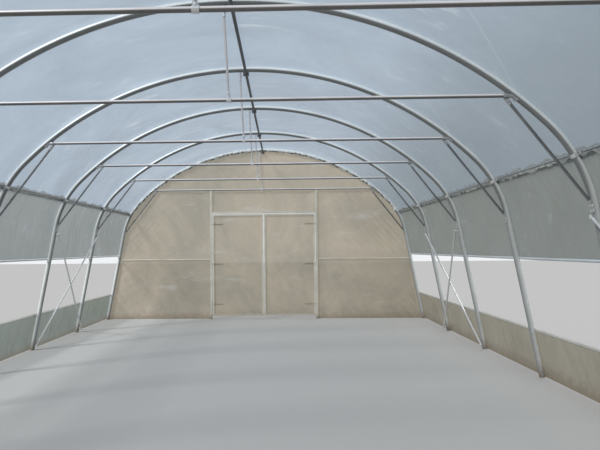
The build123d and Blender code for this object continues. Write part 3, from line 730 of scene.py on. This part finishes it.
post_reach, mid_rail_reach, header_reach, head_reach, foot_gap = 0.22, 0.25, 0.3, 0.2, 0.004
pull_height, pull_pitch, pull_reach, pull_inset = 0.006, 0.29, 0.16, 0.05
crease_height, crease_pitch, crease_x, crease_z, crease_inset = 0.012, 0.135, 2.45, 1.75, 0.10
crease_width, crease_rise, crease_sway, crease_bends = 0.45, 0.5, 0.03, 5
side_columns, top_columns, flat_rows, rim_rows = 150, 70, 91, 6


def near_line(value, middle, reach):
    """0 on a line and 1 from reach away from it, rising as a squared sine."""
    return np.sin(np.pi / 2 * np.clip(np.abs(value - middle) / reach, 0, 1)) ** 2


# The film is three flat grids, left, over and right of the doorway, from the ground or the header up to the
# hoop's line. They bulge by seeded sines, held flat at the frame and rim, are drawn into pleats at the rim
# by a cosine of the length along it, and crease slantwise at the shoulders by a squared sine. Their last
# rows follow a circle round the hoop.
table = np.arange(0, 3, 0.001)
s_door = float(np.interp(opening_half, hoop_line(table)[0], table))
s_edge = foot_end - foot_gap
for end, way, end_hoop, hoop in ends:
    grids = []
    for low_s, high_s, columns, bottom in (
        (-s_edge, -s_door, side_columns, 0.0),
        (-s_door, s_door, top_columns, header_top - lap),
        (s_door, s_edge, side_columns, 0.0),
    ):
        s = np.linspace(low_s, high_s, columns)[None]
        x, top, _, _ = hoop_line(s)
        share = np.linspace(0, 1, flat_rows)[:, None]
        x, z = x + 0 * share, bottom + (top - bottom) * share
        across = np.abs(x)
        beside = near_line(across, (opening_half + post_outer) / 2, post_reach)
        beside = beside * near_line(z, mid_rail_height, mid_rail_reach)
        above = near_line(z, header_top, header_reach) * near_line(across, post_outer, head_reach)
        free = np.where(across < post_outer, above, beside)
        rim = np.clip((top - z) / rim_reach, 0, 1) * np.clip((foot_end - np.abs(s)) / rim_reach, 0, 1)
        pull = pull_height * np.cos(2 * np.pi * s / pull_pitch)
        pull = pull * np.exp(-(top - z) / pull_reach) * np.clip((top - z) / pull_inset, 0, 1)
        bulge = end_bulge + end_wrinkle * waves(x, z, 31 + way, 18, 0.16, 0.9)
        bulge = (bulge + end_ripple * waves(x + z, x - z, 37 + way, 8, 0.08, 0.3, slant=0.8)) * free * rim
        drawn = np.exp(-(((across - crease_x) / crease_width) ** 2) - ((z - crease_z) / crease_rise) ** 2)
        slanting = across + z + crease_sway * np.sin(crease_bends * z)
        crease = 0.5 + 0.5 * np.sin(2 * np.pi * slanting / crease_pitch)
        bulge = bulge + crease_height * crease**2 * drawn * free * np.clip((top - z) / crease_inset, 0, 1)
        off = film_out + np.maximum(bulge, 0) + np.maximum(pull, 0)
        flat = np.stack([x, end_hoop + way * off, z], -1)
        turn = np.radians(np.linspace(0, rim_turn, rim_rows + 1))[1:, None]
        x, z, _, _ = hoop_line(s + 0 * turn, rim_radius * np.sin(turn))
        rolled = np.stack([x, end_hoop + way * rim_radius * np.cos(turn) + 0 * x, z], -1)
        grids.append(np.concatenate([flat, rolled]))
    sheet = joined(grids, f"{end}_end_sheet", end_film, flip=way > 0, weld=1e-6)
    dress(sheet, "tunnel", "end_film", *[f"{end}_end_film_{part}" for part in ("left", "right", "top")])
    x, z, _, _ = hoop_line(np.linspace(-foot_end, foot_end, 2001), rim_radius * np.radians(rim_turn))
    area = float(np.sum((z[1:] + z[:-1]) / 2 * np.diff(x))) - 2 * opening_half * (header_top - lap)


# Clips and film tails of the end hoops: white plastic clips, 80 mm long, snap over each end hoop and hold
# both films. The roof film's trimmed edge wraps on round the hoop's inner face, frayed, with a few loose
# tufts.
clip_white = (0.82, 0.83, 0.82)
node, surface = new_material("white_clip")
place = node("TexCoord").outputs["Object"]
mottle = node("TexNoise", {"Vector": place, "Scale": 25.0, "Detail": 3.0}).outputs["Fac"]
tint = {"Factor": mottle, "A": (*(0.8 * c for c in clip_white), 1), "B": (*clip_white, 1)}
tint = node("Mix", tint, data_type="RGBA").outputs["Result"]
bump = node("Bump", {"Height": mottle, "Strength": 0.1, "Distance": 0.001}).outputs[0]
white_clip = surface(node("BsdfPrincipled", {"Base Color": tint, "Roughness": 0.45, "Normal": bump}))
wrap_film = polythene("wrap_film", (0.6, 0.62, 0.62), (0.80, 0.83, 0.82), (0.60, 0.64, 0.64), 0.10, milk=0.8)

clip_inner, clip_wall, clip_half, clip_flare = 0.0343, 0.0024, 0.040, 0.004
clip_count, clip_gap, clip_jitter = 23, 0.12, 0.07
clip_from, clip_to, clip_middle, flare_from, flare_over = -110, 160, 25, 110, 25
ridge_clear, tie_clear, clamp_reach = 0.11, 0.12, 0.14
kept_clear = np.array([(0.0, ridge_clear), (length_at(tie_height), tie_clear)])
# A clip's section is an arc round the hoop with an outer and an inner radius, flared at both lips, carried
# along the hoop's line.
turn = np.radians(np.linspace(clip_from, clip_to, 28))
flare = np.abs(turn - np.radians(clip_middle)) - np.radians(flare_from)
flare = clip_flare * np.clip(flare / np.radians(flare_over), 0, 1)
outer, inner = clip_inner + clip_wall + flare, clip_inner + flare
out = np.concatenate([outer * np.cos(turn), (inner * np.cos(turn))[::-1], outer[:1] * np.cos(turn[:1])])
off = np.concatenate([outer * np.sin(turn), (inner * np.sin(turn))[::-1], outer[:1] * np.sin(turn[:1])])
along = np.array([-clip_half, -clip_half, clip_half, clip_half])[:, None]

end_tail, end_tail_inset, end_tail_gap = 0.080, 0.05, 0.0012
end_loose, end_tuft, end_tail_start = 0.006, 0.026, np.radians(20)
frayed_share, frayed_swing, frayed_least, frayed_at_clamp = 0.72, 0.30, 0.15, 0.10
loose_share, loose_most, tuft_from = 0.3, 1.5, 0.7
end_tail_length = round(2 * (s_rail - end_tail_inset), 3)
clips = []
for end, way, end_hoop, hoop in ends:
    rng = np.random.default_rng(41 + way)
    middles = np.linspace(clip_gap - s_rail, s_rail - clip_gap, clip_count)
    middles = middles + rng.uniform(-clip_jitter, clip_jitter, clip_count)
    clear = np.all(np.abs(np.abs(middles)[:, None] - kept_clear[:, 0]) > kept_clear[:, 1], axis=1)
    x, z, _, _ = hoop_line(middles[clear][:, None, None] + along, out)
    grid = np.stack([x, end_hoop + way * off + 0 * x, z], -1)
    grid[:, 0], grid[:, -1] = grid[:, 0].mean(1, keepdims=True), grid[:, -1].mean(1, keepdims=True)
    clips.append(grid if way < 0 else grid[:, ::-1])

    # A tail follows a circle round the hoop over its frayed width, a sum of seeded sines. Loose waves and
    # tufts lift it towards its free edge.
    s = np.linspace(end_tail_inset - s_rail, s_rail - end_tail_inset, 901)[:, None]
    share = np.linspace(0, 1, 12)[None]
    free = np.min([near_line(np.abs(s), middle, clamp_reach) for middle in kept_clear[:, 0]], axis=0)
    frayed = frayed_share + frayed_swing * waves(s, 0 * s, 91 + way, 16, 0.07, 0.7, slant=1.0)
    frayed = np.minimum(np.clip(frayed, frayed_least, 1), frayed_at_clamp + free)
    loose = loose_share + waves(s, 0 * s, 95 + way, 12, 0.06, 0.3, slant=1.0)
    loose = end_loose * np.clip(loose, 0, loose_most)
    tufts = waves(s, 0 * s, 101 + way, 10, 0.12, 0.5, slant=1.0) - tuft_from
    tufts = end_tuft * np.clip(tufts, 0, 1)
    radius = hoop_radius + end_tail_gap + (loose * share**2 + tufts * share) * free
    wrapped = end_tail_start + end_tail / hoop_radius * frayed * share
    x, z, _, _ = hoop_line(s, radius * np.cos(wrapped))
    grid = np.stack([x, end_hoop - way * radius * np.sin(wrapped), z], -1)
    tail = joined(grid, f"{end}_roof_tail", wrap_film, flip=way > 0)
    dress(tail, "tunnel", "roof_film")
    area = round(float(frayed.mean()) * end_tail * end_tail_length, 3)
dress(joined(clips, "film_clips", white_clip, smooth=False, weld=1e-6), "tunnel", "skirt_hem")


# Door leaves: each is a welded frame of 30 mm square tube with film over its outer face, turned round its
# edges and screwed down, on three strap hinges. The far leaves are shut, and the near ones are folded back
# against the end film.
wear(door_zinc, *[f"{end}_{side}_leaf_frame" for end, *_ in ends for side in ("left", "right")])
hinge_x, hinge_depth = 1.061, 0.0475
leaf_edge, leaf_middle_edge, leaf_low, leaf_high = 0.004, 1.055, 0.065, 2.150
strap_face, leaf_film_depth, turned_back, bar_width = 0.0085, 0.0160, 0.020, 0.03
strap_heights, strap_screw_places, strap_end = (0.297, 1.1195, 1.942), (0.055, 0.125, 0.195), 0.26
leaf_sag, leaf_wrinkle, sag_reach, least_sag, most_sag = 0.006, 0.0045, 0.2, -0.004, 0.014
edge_inset, edge_first, edge_last, edge_step, edge_across = 0.015, 0.12, 0.05, 0.32, (0.20, 0.40, 0.60, 0.80)
strap_clear, strap_sag_reach, screw_sunk = 0.06, 0.10, 0.0008
strap_screw, edge_screw = screw(0.006, 0.0085, 0.0045), screw(0.0045, 0.009, 0.003)


def leaf_point(leaf, across, depth, z):
    """A point of a leaf, from its distances across and inwards from the hinge pin. leaf holds its side,
    which way it swings, and its end's direction and Y."""
    side, swing, way, end_hoop = leaf
    x = side * (hinge_x + swing * across)
    return np.stack(np.broadcast_arrays(x, end_hoop + way * (hinge_depth + swing * depth), z), -1)


def folded(low, high, count):
    """Places from low to high with three more past each end for the film that is turned back there, and how
    far each has turned: 1 at the free edge and 0 on the face."""
    places = np.concatenate([[low - 0.001] * 3, np.linspace(low, high, count), [high + 0.001] * 3])
    return places, np.concatenate([[1, 0.5, 0.05], np.zeros(count), [0.05, 0.5, 1]])


def off_edges(value, low, high):
    """0 up to a bar's width inside both ends, rising to 1 over sag_reach."""
    rise = np.clip((value - low - bar_width) / sag_reach, 0, 1)
    return rise * np.clip((high - bar_width - value) / sag_reach, 0, 1)


# The leaf's film is a flat grid that sags by seeded sines, held flat at its bars and straps. Three rows
# past each edge turn back round the frame.
across, fold_across = (v[None] for v in folded(leaf_edge, leaf_middle_edge, 61))
z, fold_z = (v[:, None] for v in folded(leaf_low, leaf_high, 101))
back = np.maximum(fold_across, fold_z) * turned_back
inside = off_edges(across, leaf_edge, leaf_middle_edge) * off_edges(z, leaf_low, leaf_high)
off_straps = np.min([near_line(z, height, strap_sag_reach) for height in strap_heights], axis=0)
inside = inside * np.where(across < strap_end, off_straps, 1)

edge_places = []
for height in np.arange(leaf_low + edge_first, leaf_high - edge_last, edge_step):
    edge_places.append((leaf_middle_edge - edge_inset, height))
    if min(abs(height - strap) for strap in strap_heights) > strap_clear:
        edge_places.append((leaf_edge + edge_inset, height))
for height in (leaf_low + edge_inset, leaf_high - edge_inset):
    edge_places += [(place, height) for place in edge_across]
strap_places = [(place, height) for height in strap_heights for place in strap_screw_places]

for end, way, end_hoop, _ in ends:
    swing = -1 if end == "far" else 1
    for name, side in (("left", -1), ("right", 1)):
        leaf, body = (side, swing, way, end_hoop), f"{end}_{name}_leaf"
        sag = (leaf_sag + leaf_wrinkle * waves(across, z, 51 + 3 * way + side, 14, 0.15, 0.8)) * inside
        grid = leaf_point(leaf, across, leaf_film_depth + back + np.clip(sag, least_sag, most_sag), z)
        leaf_sheet = joined(grid, f"{body}_sheet", end_film, flip=side * way * swing > 0)
        dress(leaf_sheet, body, "end_film", f"{body}_film")
        leaf_screws = []
        for shape, places, depth in (
            (strap_screw, strap_places, strap_face),
            (edge_screw, edge_places, leaf_film_depth - screw_sunk),
        ):
            places = np.array([leaf_point(leaf, place, depth, height) for place, height in places])
            leaf_screws.append(stood(shape, places, (0, -way * swing, 0)))
        leaf_screws = joined(leaf_screws, f"{body}_screws", bright_zinc, smooth=False, weld=1e-5)
        dress(leaf_screws, body, "bright_zinc")
